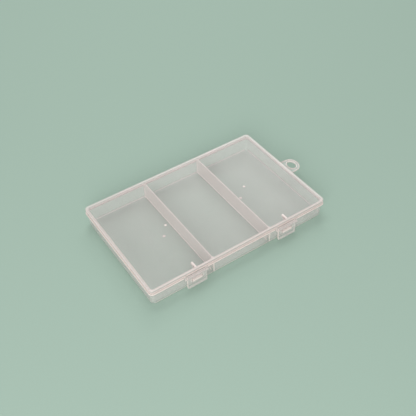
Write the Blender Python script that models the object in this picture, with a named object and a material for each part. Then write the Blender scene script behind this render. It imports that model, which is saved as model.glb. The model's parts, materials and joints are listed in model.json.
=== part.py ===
"""Flat three-compartment storage case moulded in milky translucent plastic.

The case is four mouldings. The tray is a shallow drafted box with two cross walls, a rim flange, a
hanging ring, two catch lugs and two hinge bars. The lid is a shallow cap that drops over the tray's
upstand and clips on the hinge bars. Two latches clip on bars at the lid's front and close on the lugs.

Frame: the origin is the centre of the tray's underside, +X runs along the length to the hanging ring,
-Y is the latch side and +Z is up. Lengths are in metres and angles in degrees.

In the profile sections, "out" is the distance outward from the lid's outer face.
"""

import math

import bmesh
import bpy
from mathutils import Matrix, Vector

COLLECTION = "compartment_storage_case"
CUTTERS = "compartment_storage_case_cutters"

# Overall sizes
LID_LENGTH = 0.1750
LID_WIDTH = 0.1130
CASE_HEIGHT = 0.0182
GAP = 0.0003
OVERLAP = 0.0006

# Lid
LID_CORNER = 0.0035
LID_TOP_EDGE = 0.0010
LID_SKIRT_EDGE = 0.0002
PANEL_THICK = 0.0012
SKIRT_THICK = 0.0012
SKIRT_BOTTOM = 0.0139
LID_INNER_EDGE = 0.0006

# Tray shell
TRAY_CORNER = 0.0038
TRAY_FOOT_INSET = 0.0014
TRAY_TOP_INSET = 0.0010
TRAY_FOOT_EDGE = 0.0008
FLOOR_THICK = 0.0012
FLANGE_PROUD = 0.0004
FLANGE_THICK = 0.0010
FLANGE_EDGE = 0.00035
UPSTAND_THICK = 0.0010
UPSTAND_TOP_GAP = 0.0004
UPSTAND_EDGE = 0.0002
POCKET_DRAFT = 0.0002
POCKET_CORNER = 0.0016
POCKET_FOOT_EDGE = 0.0008
DIVIDER_LEFT_X = -0.0282
DIVIDER_RIGHT_X = 0.0286
DIVIDER_TOP_THICK = 0.0012
DIVIDER_DROP = 0.0003

# Hanging ring
RING_CENTRE_OUT = 0.0093
RING_HOLE_OUT = 0.0037
RING_HOLE_ACROSS = 0.0050
RING_OUT = 0.0069
RING_ACROSS = 0.0088
RING_FLARE_HALF = 0.0110
RING_THICK = 0.0013
RING_EDGE = 0.00035
RING_FIRST_ANGLE = 90.0

# Back hinge
HINGE_X = 0.0460
HINGE_OUT = 0.0018
HINGE_Z = 0.0126
HINGE_BAR = 0.00075
HOOK_THICK = 0.0009
HOOK_LENGTH = 0.0114
HOOK_MOUTH_FROM = 205.0
HOOK_MOUTH_TO = 285.0
HOOK_WEB_LEAVES = 75.0
HOOK_WEB_TOP = 0.0153
HOOK_WEB_OUT = 0.0004
HOOK_WEB_RISE = 0.00015
HINGE_EAR = 0.0010
HINGE_EAR_THICK = 0.0015
NOTCH_SIDE_GAP = 0.0004
NOTCH_INTO_WALL = 0.0002

# Front latches
LATCH_LEFT_X = -0.0464
LATCH_RIGHT_X = 0.0442
LATCH_OUT = 0.0016
LATCH_Z = 0.0130
LATCH_BAR = 0.0006
CLIP_THICK = 0.0006
CLIP_MOUTH_FROM = 140.0
CLIP_MOUTH_TO = 220.0
LATCH_WIDTH = 0.0185
LATCH_FOOT_CORNER = 0.0016
LATCH_TOP_CORNER = 0.0004
PLATE_INNER_OUT = 0.0012
PLATE_OUTER_OUT = 0.0024
LATCH_BOTTOM = 0.0014
LIP_FLAT_TOP = 0.0022
LIP_BLEND_TOP = 0.0034
LIP_OUT = 0.0028
LIP_CHAMFER = 0.0003
WINDOW_WIDTH = 0.0102
WINDOW_BOTTOM = 0.0075
WINDOW_TOP = 0.0108
WINDOW_CORNER = 0.0006
LATCH_EAR = 0.0012
LATCH_EAR_THICK = 0.0012
LATCH_EAR_TOP = 0.0156
LATCH_EAR_TOP_OUT = 0.0003
LATCH_EAR_FROM = 170.0
LATCH_EAR_TO = 420.0

# Catch lugs on the tray's front wall
LUG_WIDTH = 0.0092
LUG_BOTTOM = 0.0080
LUG_TOP_WALL = 0.0104
LUG_TOP_TIP = 0.0098
LUG_TIP_OUT = 0.0030
LUG_NOSE_DEPTH = 0.00015
LUG_TIP_CHAMFER = 0.0003

# Locating fins under the lid
FIN_LEFT_X = -0.0452
FIN_RIGHT_X = 0.0462
FIN_LENGTH = 0.0046
FIN_DEPTH = 0.0036
FIN_FOOT = 0.0004
FIN_THICK = 0.0012

# Injection gate marks
GATE_X = 0.0407
GATE_LID_Y = -0.0023
GATE_TRAY_Y = 0.0025
GATE_DIMPLE = 0.0018
GATE_DIMPLE_DEPTH = 0.0003
GATE_NUB = 0.0008
GATE_NUB_HEIGHT = 0.0002

# Facets
CORNER_SEGMENTS = 6
EDGE_SEGMENTS = 3
SMALL_EDGE_SEGMENTS = 1
POCKET_CORNER_SEGMENTS = 4
ARC_STEP = 15.0
RING_STEP = 7.5
RING_HOLE_STEP = 9.0
BAR_FACETS = 16
GATE_FACETS = 16
SMOOTH_ANGLE = 35.0
MERGE = 0.000001

# Derived positions
REACH = CASE_HEIGHT
HALF_X = LID_LENGTH / 2
HALF_Y = LID_WIDTH / 2
FLANGE_TOP = SKIRT_BOTTOM - GAP
FLANGE_BOTTOM = FLANGE_TOP - FLANGE_THICK
PANEL_UNDER = CASE_HEIGHT - PANEL_THICK
RIM_TOP = PANEL_UNDER - UPSTAND_TOP_GAP
UPSTAND_INSET = SKIRT_THICK + GAP
RIM_INNER_INSET = UPSTAND_INSET + UPSTAND_THICK
DIVIDER_TOP = RIM_TOP - DIVIDER_DROP
HINGE_Y = HALF_Y + HINGE_OUT
LATCH_Y = -HALF_Y - LATCH_OUT
HOOK_INNER = HINGE_BAR + GAP
HOOK_OUTER = HOOK_INNER + HOOK_THICK
CLIP_INNER = LATCH_BAR + GAP
CLIP_OUTER = CLIP_INNER + CLIP_THICK
CLIP_TOP = LATCH_Z + CLIP_OUTER
FULL_TURN = 360.0

# Places along the case of what comes in pairs
HINGES = (("left", -HINGE_X), ("right", HINGE_X))
LATCHES = (("left", LATCH_LEFT_X), ("right", LATCH_RIGHT_X))
FINS = (("left", FIN_LEFT_X), ("right", FIN_RIGHT_X))


def clear_scene():
    """Remove every object, mesh, curve and material that the file holds."""
    for item in list(bpy.data.objects):
        bpy.data.objects.remove(item, do_unlink=True)
    for group in (bpy.data.meshes, bpy.data.curves, bpy.data.materials):
        for item in list(group):
            group.remove(item)
    for item in list(bpy.data.collections):
        bpy.data.collections.remove(item)


def new_collection(name):
    """A collection linked to the scene."""
    collection = bpy.data.collections.new(name)
    bpy.context.scene.collection.children.link(collection)
    return collection


def add_object(name, mesh, collection):
    """An object for the mesh, smooth except at its sharp edges."""
    mesh.shade_smooth()
    mesh.set_sharp_from_angle(angle=math.radians(SMOOTH_ANGLE))
    item = bpy.data.objects.new(name, mesh)
    collection.objects.link(item)
    return item


def as_guide(item):
    """Show a shape that only cuts or adds to another as wire, and leave it out of renders."""
    item.hide_render = True
    item.display_type = "WIRE"
    return item


def block(name, collection, half_x, half_y, bottom, top, **shape):
    """A box with upright corners rounded, drafted by foot_inset, with its foot and top edges eased."""
    corner = shape.get("corner", 0)
    foot_inset = shape.get("foot_inset", 0)
    bm = bmesh.new()
    bmesh.ops.create_cube(bm, size=2.0)
    for vert in bm.verts:
        inset = foot_inset if vert.co.z < 0 else 0
        vert.co.x = math.copysign(half_x - inset, vert.co.x)
        vert.co.y = math.copysign(half_y - inset, vert.co.y)
        vert.co.z = bottom if vert.co.z < 0 else top
    if corner:
        upright = [edge for edge in bm.edges if abs(edge.verts[0].co.z - edge.verts[1].co.z) > MERGE]
        ease(bm, upright, corner, shape.get("corner_segments", CORNER_SEGMENTS))
    for level, key in ((bottom, "foot_edge"), (top, "top_edge")):
        if shape.get(key):
            ring = [edge for edge in bm.edges if all(abs(v.co.z - level) < MERGE for v in edge.verts)]
            ease(bm, ring, shape[key], shape.get("edge_segments", EDGE_SEGMENTS))
    centre = Vector(shape.get("centre", (0, 0, 0)))
    bmesh.ops.translate(bm, verts=bm.verts, vec=centre)
    mesh = bpy.data.meshes.new(name)
    bm.to_mesh(mesh)
    bm.free()
    return add_object(name, mesh, collection)


def ease(bm, edges, offset, segments):
    """Round the given edges."""
    bmesh.ops.bevel(bm, geom=edges, offset=offset, offset_type="OFFSET", segments=segments,
                    profile=0.5, affect="EDGES")


def cylinder(name, collection, radius, half_length, centre, facets, axis):
    """A closed cylinder along X or Z."""
    bm = bmesh.new()
    bmesh.ops.create_cone(bm, cap_ends=True, segments=facets, radius1=radius, radius2=radius,
                          depth=2 * half_length)
    if axis == "X":
        bmesh.ops.rotate(bm, verts=bm.verts, cent=(0, 0, 0), matrix=Matrix.Rotation(math.pi / 2, 3, "Y"))
    bmesh.ops.translate(bm, verts=bm.verts, vec=Vector(centre))
    mesh = bpy.data.meshes.new(name)
    bm.to_mesh(mesh)
    bm.free()
    return add_object(name, mesh, collection)


def prism(name, collection, outline, half_length, frame):
    """A flat outline drawn as a filled curve, extruded both ways and made a mesh in the given frame."""
    curve = bpy.data.curves.new(name, "CURVE")
    curve.dimensions = "2D"
    curve.fill_mode = "BOTH"
    curve.extrude = half_length
    spline = curve.splines.new("POLY")
    spline.points.add(len(outline) - 1)
    for point, (across, along) in zip(spline.points, outline):
        point.co = (across, along, 0, 1)
    spline.use_cyclic_u = True
    drawn = bpy.data.objects.new(name + "_outline", curve)
    bpy.context.scene.collection.objects.link(drawn)
    bpy.context.view_layer.update()
    depsgraph = bpy.context.evaluated_depsgraph_get()
    mesh = bpy.data.meshes.new_from_object(drawn.evaluated_get(depsgraph))
    bpy.data.objects.remove(drawn, do_unlink=True)
    bpy.data.curves.remove(curve)
    mesh.materials.clear()
    bm = bmesh.new()
    bm.from_mesh(mesh)
    bmesh.ops.remove_doubles(bm, verts=bm.verts, dist=MERGE)
    bmesh.ops.transform(bm, matrix=frame, verts=bm.verts)
    bmesh.ops.recalc_face_normals(bm, faces=bm.faces)
    bm.to_mesh(mesh)
    bm.free()
    mesh.name = name
    return add_object(name, mesh, collection)


def side_frame(x, y, side):
    """Frame of a section drawn as (out, height): side is 1 at the back and -1 at the front."""
    return Matrix(((0, 0, side, x), (side, 0, 0, y), (0, 1, 0, 0), (0, 0, 0, 1)))


def oval(centre, half_across, half_along, start, end, step):
    """Points on an ellipse from the start angle to the end angle, both included."""
    count = max(1, round(abs(end - start) / step))
    points = []
    for index in range(count + 1):
        angle = math.radians(start + (end - start) * index / count)
        across = centre[0] + half_across * math.cos(angle)
        along = centre[1] + half_along * math.sin(angle)
        points.append((across, along))
    return points


def arc(centre, radius, start, end, step=ARC_STEP):
    """Points on a circle from the start angle to the end angle, both included."""
    return oval(centre, radius, radius, start, end, step)


def join(target, other, operation="UNION"):
    """Add the other shape to the target, or cut it away."""
    modifier = target.modifiers.new(operation.lower() + "_" + other.name, "BOOLEAN")
    modifier.operation = operation
    modifier.solver = "EXACT"
    modifier.object = as_guide(other)


def cut(target, other):
    """Cut the other shape away from the target."""
    join(target, other, "DIFFERENCE")


def plastic(name, colour, roughness):
    """A milky plastic that lets some light through."""
    material = bpy.data.materials.new(name)
    material.use_nodes = True
    shader = material.node_tree.nodes["Principled BSDF"]
    shader.inputs["Base Color"].default_value = (*colour, 1.0)
    shader.inputs["Roughness"].default_value = roughness
    shader.inputs["Metallic"].default_value = 0.0
    material.diffuse_color = (*colour, 1.0)
    return material


def set_origin(item, point):
    """Move an object's origin to a point without moving its shape."""
    item.data.transform(Matrix.Translation(-Vector(point)))
    item.location = Vector(point)


def ring_outline():
    """Hanging ring seen from above: an oval end whose sides flare into the flange."""
    centre = (HALF_X + RING_CENTRE_OUT, 0)
    root_x = HALF_X - UPSTAND_INSET
    points = oval(centre, RING_OUT, RING_ACROSS, -RING_FIRST_ANGLE, RING_FIRST_ANGLE, RING_STEP)
    points.append((HALF_X + FLANGE_PROUD, RING_FLARE_HALF))
    points.append((root_x, RING_FLARE_HALF))
    points.append((root_x, -RING_FLARE_HALF))
    points.append((HALF_X + FLANGE_PROUD, -RING_FLARE_HALF))
    return points


def ring_hole_outline():
    """Oval hole of the hanging ring, wider across the case than out from it."""
    centre = (HALF_X + RING_CENTRE_OUT, 0)
    return oval(centre, RING_HOLE_OUT, RING_HOLE_ACROSS, 0, FULL_TURN - RING_HOLE_STEP, RING_HOLE_STEP)


def hinge_ear_outline():
    """Ear that carries an end of a hinge bar, from inside the tray's wall out round the bar."""
    centre = (HINGE_OUT, HINGE_Z)
    root = -TRAY_TOP_INSET - OVERLAP
    points = arc(centre, HINGE_EAR, -FULL_TURN / 4, FULL_TURN / 4)
    points.append((root, HINGE_Z + HINGE_EAR))
    points.append((root, HINGE_Z - HINGE_EAR))
    return points


def hook_outline():
    """C-shaped hook round a hinge bar, with the web that joins it to the lid's skirt."""
    centre = (HINGE_OUT, HINGE_Z)
    web_bottom = SKIRT_BOTTOM + HOOK_WEB_RISE
    web_angle = 180.0 - math.degrees(math.asin((web_bottom - HINGE_Z) / HOOK_OUTER))
    points = arc(centre, HOOK_OUTER, HOOK_MOUTH_TO - FULL_TURN, HOOK_WEB_LEAVES)
    points.append((HOOK_WEB_OUT, HOOK_WEB_TOP))
    points.append((-OVERLAP, HOOK_WEB_TOP))
    points.append((-OVERLAP, web_bottom))
    points += arc(centre, HOOK_OUTER, web_angle, HOOK_MOUTH_FROM)
    points += arc(centre, HOOK_INNER, HOOK_MOUTH_FROM, HOOK_MOUTH_TO - FULL_TURN)
    return points


def latch_ear_outline():
    """Ear that hangs from the lid's skirt and carries an end of a latch bar."""
    points = arc((LATCH_OUT, LATCH_Z), LATCH_EAR, LATCH_EAR_FROM, LATCH_EAR_TO)
    points.append((LATCH_EAR_TOP_OUT, LATCH_EAR_TOP))
    points.append((-OVERLAP, LATCH_EAR_TOP))
    points.append((-OVERLAP, SKIRT_BOTTOM + HOOK_WEB_RISE))
    return points


def latch_outline():
    """Latch section: clip round the bar, flat plate below it and a lip that flares out at the foot."""
    centre = (LATCH_OUT, LATCH_Z)
    inner_angle = -math.degrees(math.acos((PLATE_INNER_OUT - LATCH_OUT) / CLIP_OUTER))
    outer_angle = -math.degrees(math.acos((PLATE_OUTER_OUT - LATCH_OUT) / CLIP_OUTER))
    points = arc(centre, CLIP_OUTER, CLIP_MOUTH_TO - FULL_TURN, inner_angle)
    points.append((PLATE_INNER_OUT, LATCH_BOTTOM + LIP_CHAMFER))
    points.append((PLATE_INNER_OUT + LIP_CHAMFER, LATCH_BOTTOM))
    points.append((LIP_OUT - LIP_CHAMFER, LATCH_BOTTOM))
    points.append((LIP_OUT, LATCH_BOTTOM + LIP_CHAMFER))
    points.append((LIP_OUT, LIP_FLAT_TOP))
    points.append((PLATE_OUTER_OUT, LIP_BLEND_TOP))
    points += arc(centre, CLIP_OUTER, outer_angle, CLIP_MOUTH_FROM)
    points += arc(centre, CLIP_INNER, CLIP_MOUTH_FROM, CLIP_MOUTH_TO - FULL_TURN)
    return points


def lug_outline():
    """Catch lug: sloped top, flat underside and a small nose in front of the latch's lower bar."""
    root = -TRAY_FOOT_INSET - OVERLAP
    nose = PLATE_OUTER_OUT + GAP
    return [
        (root, LUG_TOP_WALL),
        (root, LUG_BOTTOM),
        (nose, LUG_BOTTOM),
        (nose, LUG_BOTTOM - LUG_NOSE_DEPTH),
        (LUG_TIP_OUT, LUG_BOTTOM - LUG_NOSE_DEPTH),
        (LUG_TIP_OUT, LUG_TOP_TIP - LUG_TIP_CHAMFER),
        (LUG_TIP_OUT - LUG_TIP_CHAMFER, LUG_TOP_TIP),
    ]


def fin_outline():
    """Locating fin: a triangle under the lid whose point stands just inside the tray's rim."""
    outer = -RIM_INNER_INSET - GAP
    top = PANEL_UNDER + OVERLAP
    return [
        (outer, top),
        (outer, PANEL_UNDER - FIN_DEPTH),
        (outer - FIN_FOOT, PANEL_UNDER - FIN_DEPTH),
        (outer - FIN_LENGTH, PANEL_UNDER),
        (outer - FIN_LENGTH, top),
    ]


def gate_mark(target, cutters, name, x, y, face_z, face_side):
    """A round dimple with the gate's broken-off nub standing in it, just below the face."""
    level = face_z - face_side * GATE_DIMPLE_DEPTH
    dimple = cylinder(name + "_dimple", cutters, GATE_DIMPLE, REACH / 2,
                      (x, y, level + face_side * REACH / 2), GATE_FACETS, "Z")
    cut(target, dimple)
    half = (GATE_NUB_HEIGHT + OVERLAP) / 2
    middle = level + face_side * (GATE_NUB_HEIGHT - half)
    join(target, cylinder(name + "_nub", cutters, GATE_NUB, half, (x, y, middle), GATE_FACETS, "Z"))


def build_flange(cutters):
    """Rim flange, cut back to the wall where the hinge ears and the latches stand."""
    flange = block("flange", cutters, HALF_X + FLANGE_PROUD, HALF_Y + FLANGE_PROUD, FLANGE_BOTTOM,
                   FLANGE_TOP, corner=LID_CORNER + FLANGE_PROUD, foot_edge=FLANGE_EDGE,
                   top_edge=FLANGE_EDGE, edge_segments=SMALL_EDGE_SEGMENTS + 1)
    hinge_half = HOOK_LENGTH / 2 + GAP + HINGE_EAR_THICK + NOTCH_SIDE_GAP
    latch_half = LATCH_WIDTH / 2 + GAP + LATCH_EAR_THICK + NOTCH_SIDE_GAP
    depth = TRAY_TOP_INSET + NOTCH_INTO_WALL
    for label, side, half, places in (("back", 1, hinge_half, HINGES), ("front", -1, latch_half, LATCHES)):
        for hand, x in places:
            centre_y = side * (HALF_Y - depth + REACH / 2)
            notch = block(f"notch_{label}_{hand}", cutters, half, REACH / 2, FLANGE_BOTTOM - REACH,
                          FLANGE_TOP + REACH, centre=(x, centre_y, 0))
            cut(flange, notch)
    return flange


def build_tray(parts, cutters):
    """Tray: drafted shell, flange, upstand, pockets, ring, hinge bars and catch lugs."""
    tray = block("tray", parts, HALF_X - TRAY_TOP_INSET, HALF_Y - TRAY_TOP_INSET, 0,
                 FLANGE_TOP - FLANGE_EDGE, corner=TRAY_CORNER, foot_edge=TRAY_FOOT_EDGE,
                 foot_inset=TRAY_FOOT_INSET - TRAY_TOP_INSET)
    join(tray, build_flange(cutters))
    upstand = block("upstand", cutters, HALF_X - UPSTAND_INSET, HALF_Y - UPSTAND_INSET, FLANGE_BOTTOM,
                    RIM_TOP, corner=LID_CORNER - UPSTAND_INSET, top_edge=UPSTAND_EDGE,
                    edge_segments=SMALL_EDGE_SEGMENTS)
    join(tray, upstand)
    ring = prism("ring", cutters, ring_outline(), RING_THICK / 2,
                 Matrix.Translation((0, 0, FLANGE_TOP - RING_EDGE - RING_THICK / 2)))
    join(tray, ring)
    offset = HOOK_LENGTH / 2 + GAP + HINGE_EAR_THICK / 2
    for hand, x in HINGES:
        for end in (-1, 1):
            frame = side_frame(x + end * offset, HALF_Y, 1)
            label = f"hinge_ear_{hand}_{'a' if end < 0 else 'b'}"
            join(tray, prism(label, cutters, hinge_ear_outline(), HINGE_EAR_THICK / 2, frame))
        join(tray, cylinder(f"hinge_bar_{hand}", cutters, HINGE_BAR, offset, (x, HINGE_Y, HINGE_Z),
                            BAR_FACETS, "X"))
    for hand, x in LATCHES:
        join(tray, prism(f"lug_{hand}", cutters, lug_outline(), LUG_WIDTH / 2,
                         side_frame(x, -HALF_Y, -1)))
    inner_x = HALF_X - RIM_INNER_INSET
    inner_y = HALF_Y - RIM_INNER_INSET
    half_wall = DIVIDER_TOP_THICK / 2
    pockets = (("left", -inner_x, DIVIDER_LEFT_X - half_wall),
               ("middle", DIVIDER_LEFT_X + half_wall, DIVIDER_RIGHT_X - half_wall),
               ("right", DIVIDER_RIGHT_X + half_wall, inner_x))
    for label, start, end in pockets:
        pocket = block(f"pocket_{label}", cutters, (end - start) / 2, inner_y, FLOOR_THICK,
                       RIM_TOP + OVERLAP, corner=POCKET_CORNER, foot_edge=POCKET_FOOT_EDGE,
                       foot_inset=POCKET_DRAFT, corner_segments=POCKET_CORNER_SEGMENTS,
                       edge_segments=SMALL_EDGE_SEGMENTS + 1, centre=((start + end) / 2, 0, 0))
        cut(tray, pocket)
    cut(tray, block("divider_drop", cutters, inner_x - POCKET_CORNER, inner_y - POCKET_CORNER,
                    DIVIDER_TOP, RIM_TOP + REACH))
    cut(tray, prism("ring_hole", cutters, ring_hole_outline(), REACH / 2,
                    Matrix.Translation((0, 0, FLANGE_TOP))))
    gate_mark(tray, cutters, "gate_tray_left", -GATE_X, GATE_TRAY_Y, 0, -1)
    gate_mark(tray, cutters, "gate_tray_right", GATE_X, GATE_TRAY_Y, 0, -1)
    return tray


def build_lid(parts, cutters):
    """Lid: shallow cap with hinge hooks at the back, ears, bars and locating fins at the front."""
    lid = block("lid", parts, HALF_X, HALF_Y, SKIRT_BOTTOM, CASE_HEIGHT, corner=LID_CORNER,
                foot_edge=LID_SKIRT_EDGE, top_edge=LID_TOP_EDGE)
    cut(lid, block("lid_cavity", cutters, HALF_X - SKIRT_THICK, HALF_Y - SKIRT_THICK,
                   SKIRT_BOTTOM - OVERLAP, PANEL_UNDER, corner=LID_CORNER - SKIRT_THICK,
                   top_edge=LID_INNER_EDGE, edge_segments=SMALL_EDGE_SEGMENTS))
    for hand, x in HINGES:
        join(lid, prism(f"hook_{hand}", cutters, hook_outline(), HOOK_LENGTH / 2,
                        side_frame(x, HALF_Y, 1)))
    offset = LATCH_WIDTH / 2 + GAP + LATCH_EAR_THICK / 2
    for hand, x in LATCHES:
        for end in (-1, 1):
            frame = side_frame(x + end * offset, -HALF_Y, -1)
            label = f"latch_ear_{hand}_{'a' if end < 0 else 'b'}"
            join(lid, prism(label, cutters, latch_ear_outline(), LATCH_EAR_THICK / 2, frame))
        join(lid, cylinder(f"latch_bar_{hand}", cutters, LATCH_BAR, offset, (x, LATCH_Y, LATCH_Z),
                           BAR_FACETS, "X"))
    for hand, x in FINS:
        join(lid, prism(f"fin_{hand}", cutters, fin_outline(), FIN_THICK / 2,
                        side_frame(x, -HALF_Y, -1)))
    gate_mark(lid, cutters, "gate_lid_left", -GATE_X, GATE_LID_Y, CASE_HEIGHT, 1)
    gate_mark(lid, cutters, "gate_lid_right", GATE_X, GATE_LID_Y, CASE_HEIGHT, 1)
    set_origin(lid, (0, HINGE_Y, HINGE_Z))
    return lid


def build_latch(parts, cutters, hand, x):
    """Latch: one section extruded along its bar, with round foot corners and a window for the lug."""
    latch = prism(f"latch_{hand}", parts, latch_outline(), LATCH_WIDTH / 2 + OVERLAP,
                  side_frame(x, -HALF_Y, -1))
    plane = Matrix.Translation((x, LATCH_Y, 0)) @ Matrix.Rotation(math.pi / 2, 4, "X")
    join(latch, prism(f"plate_{hand}", cutters, plate_outline(), REACH / 2, plane), "INTERSECT")
    cut(latch, prism(f"window_{hand}", cutters, window_outline(), REACH / 2, plane))
    set_origin(latch, (x, LATCH_Y, LATCH_Z))
    return latch


def upright_outline(width, low, high, foot_corner, top_corner):
    """Rectangle with round corners, in the upright plane of the latch's plate."""
    side = width / 2
    quarter = FULL_TURN / 4
    corners = (
        (side - top_corner, high - top_corner, top_corner),
        (top_corner - side, high - top_corner, top_corner),
        (foot_corner - side, low + foot_corner, foot_corner),
        (side - foot_corner, low + foot_corner, foot_corner),
    )
    points = []
    for index, (across, up, radius) in enumerate(corners):
        points += arc((across, up), radius, index * quarter, (index + 1) * quarter, 2 * ARC_STEP)
    return points


def plate_outline():
    """Front view of the whole latch, round at its foot corners."""
    return upright_outline(LATCH_WIDTH, LATCH_BOTTOM - MERGE, CLIP_TOP + MERGE, LATCH_FOOT_CORNER,
                           LATCH_TOP_CORNER)


def window_outline():
    """Front view of the latch's window."""
    return upright_outline(WINDOW_WIDTH, WINDOW_BOTTOM, WINDOW_TOP, WINDOW_CORNER, WINDOW_CORNER)


def main():
    """Build the four mouldings and hang the moving ones from what carries them."""
    clear_scene()
    parts = new_collection(COLLECTION)
    cutters = new_collection(CUTTERS)
    tray = build_tray(parts, cutters)
    lid = build_lid(parts, cutters)
    latches = [build_latch(parts, cutters, hand, x) for hand, x in LATCHES]
    looks = (
        (tray, "tray_plastic", (0.62, 0.61, 0.57), 0.32),
        (lid, "lid_plastic", (0.66, 0.64, 0.60), 0.28),
        (latches[0], "latch_left_plastic", (0.68, 0.65, 0.60), 0.30),
        (latches[1], "latch_right_plastic", (0.68, 0.65, 0.60), 0.30),
    )
    for item, name, colour, roughness in looks:
        item.data.materials.append(plastic(name, colour, roughness))
    bpy.context.view_layer.update()
    for child, parent in ((lid, tray), (latches[0], lid), (latches[1], lid)):
        child.parent = parent
        child.matrix_parent_inverse = parent.matrix_world.inverted()
        bpy.context.view_layer.update()


main()
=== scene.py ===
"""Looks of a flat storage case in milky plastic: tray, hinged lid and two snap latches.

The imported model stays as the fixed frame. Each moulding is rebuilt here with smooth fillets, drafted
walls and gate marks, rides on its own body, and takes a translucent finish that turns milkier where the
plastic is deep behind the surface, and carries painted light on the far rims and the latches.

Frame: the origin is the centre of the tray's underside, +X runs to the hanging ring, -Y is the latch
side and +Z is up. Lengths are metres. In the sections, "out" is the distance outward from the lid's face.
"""

import json
import logging
import math
from dataclasses import dataclass, field
from enum import Enum
from typing import Callable, ClassVar, Sequence

import bmesh
import bpy
import numpy as np
from mathutils import Matrix, Vector


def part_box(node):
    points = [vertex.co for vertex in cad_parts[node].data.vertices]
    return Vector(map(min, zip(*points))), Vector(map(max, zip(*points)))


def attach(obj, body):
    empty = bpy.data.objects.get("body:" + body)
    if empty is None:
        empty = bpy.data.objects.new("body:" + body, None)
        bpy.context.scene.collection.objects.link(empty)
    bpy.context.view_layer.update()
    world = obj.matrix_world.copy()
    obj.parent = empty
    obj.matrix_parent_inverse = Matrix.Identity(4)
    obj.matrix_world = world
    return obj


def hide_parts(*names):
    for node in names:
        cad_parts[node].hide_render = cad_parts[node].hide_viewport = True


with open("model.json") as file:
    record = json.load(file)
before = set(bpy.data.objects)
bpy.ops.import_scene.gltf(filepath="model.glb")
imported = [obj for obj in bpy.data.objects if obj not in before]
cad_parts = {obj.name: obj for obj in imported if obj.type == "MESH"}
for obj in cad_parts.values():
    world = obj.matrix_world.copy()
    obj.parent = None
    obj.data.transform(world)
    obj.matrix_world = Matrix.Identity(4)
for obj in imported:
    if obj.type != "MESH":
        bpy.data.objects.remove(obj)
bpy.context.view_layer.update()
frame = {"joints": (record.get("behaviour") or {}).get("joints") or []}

MM = 0.001
FULL = 2 * math.pi
QUARTER = math.pi / 2
HAIR = 0.01 * MM
# Face-corner attribute of plastic depth, with painted light added on the far rims and the latches.
DEPTH_AND_PAINTED_LIGHT = "plastic_depth"
SHARP_ANGLE = math.radians(38)

Array = np.ndarray
Pair = tuple[float, float]
Colour = tuple[float, float, float]
Mover = Callable[[Array], Array]
Object, Material = bpy.types.Object, bpy.types.Material
Tree, Node, Socket = bpy.types.NodeTree, bpy.types.Node, bpy.types.NodeSocket
Value = float | tuple[float, ...] | Socket

log = logging.getLogger("storage_case")


class Side(Enum):
    """Long side of the case, as the sign of its Y."""

    FRONT = -1
    BACK = 1


class Cut(Enum):
    """How a second solid changes the first."""

    AWAY = "DIFFERENCE"
    WITH = "UNION"


# Surfaces


@dataclass
class Skin:
    """Points and faces of one or more closed surfaces."""

    points: Array
    quads: Array
    tris: Array = field(default_factory=lambda: np.zeros((0, 3), int))
    caps: list[Array] = field(default_factory=list)

    def moved(self, place: Mover) -> "Skin":
        """The same faces with every point sent through a function of whole arrays."""
        return Skin(place(self.points), self.quads, self.tris, self.caps)


def stacked(skins: Sequence[Skin]) -> Skin:
    """Several skins as one, each with its faces numbered after the points before it.

    Args:
        skins: The surfaces, which share no points.

    Returns:
        One skin of them all.
    """
    starts = np.cumsum([0] + [len(skin.points) for skin in skins[:-1]])
    numbered = list(zip(skins, starts))
    return Skin(
        np.vstack([skin.points for skin in skins]),
        np.vstack([skin.quads + start for skin, start in numbered]),
        np.vstack([skin.tris + start for skin, start in numbered]),
        [cap + start for skin, start in numbered for cap in skin.caps],
    )


def ring_skin(rings: Array, poles: bool = True) -> Skin:
    """Closed surface through a stack of rings.

    Formula: point (i, j) of the grid is ring i's point j, the rings close on themselves, and the two
    ends are closed by a fan to the mean of the end ring or by one flat face.

    Args:
        rings: Array (ring, point, 3), each ring anticlockwise about the direction of the stack.
        poles: True closes the ends with fans, False with flat faces.

    Returns:
        The surface with its faces outward.
    """
    count, around = rings.shape[:2]
    points = rings.reshape(-1, 3)
    here = np.arange(around)
    beside = np.roll(here, -1)
    row = (np.arange(count - 1) * around)[:, None]
    quads = np.stack([row + here, row + beside, row + around + beside, row + around + here], -1)
    last = (count - 1) * around
    if not poles:
        return Skin(points, quads.reshape(-1, 4), caps=[here[::-1], last + here])
    points = np.vstack([points, rings[0].mean(0), rings[-1].mean(0)])
    low = np.stack([np.full(around, len(points) - 2), beside, here], -1)
    high = np.stack([np.full(around, len(points) - 1), last + here, last + beside], -1)
    return Skin(points, quads.reshape(-1, 4), np.vstack([low, high]))


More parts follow.
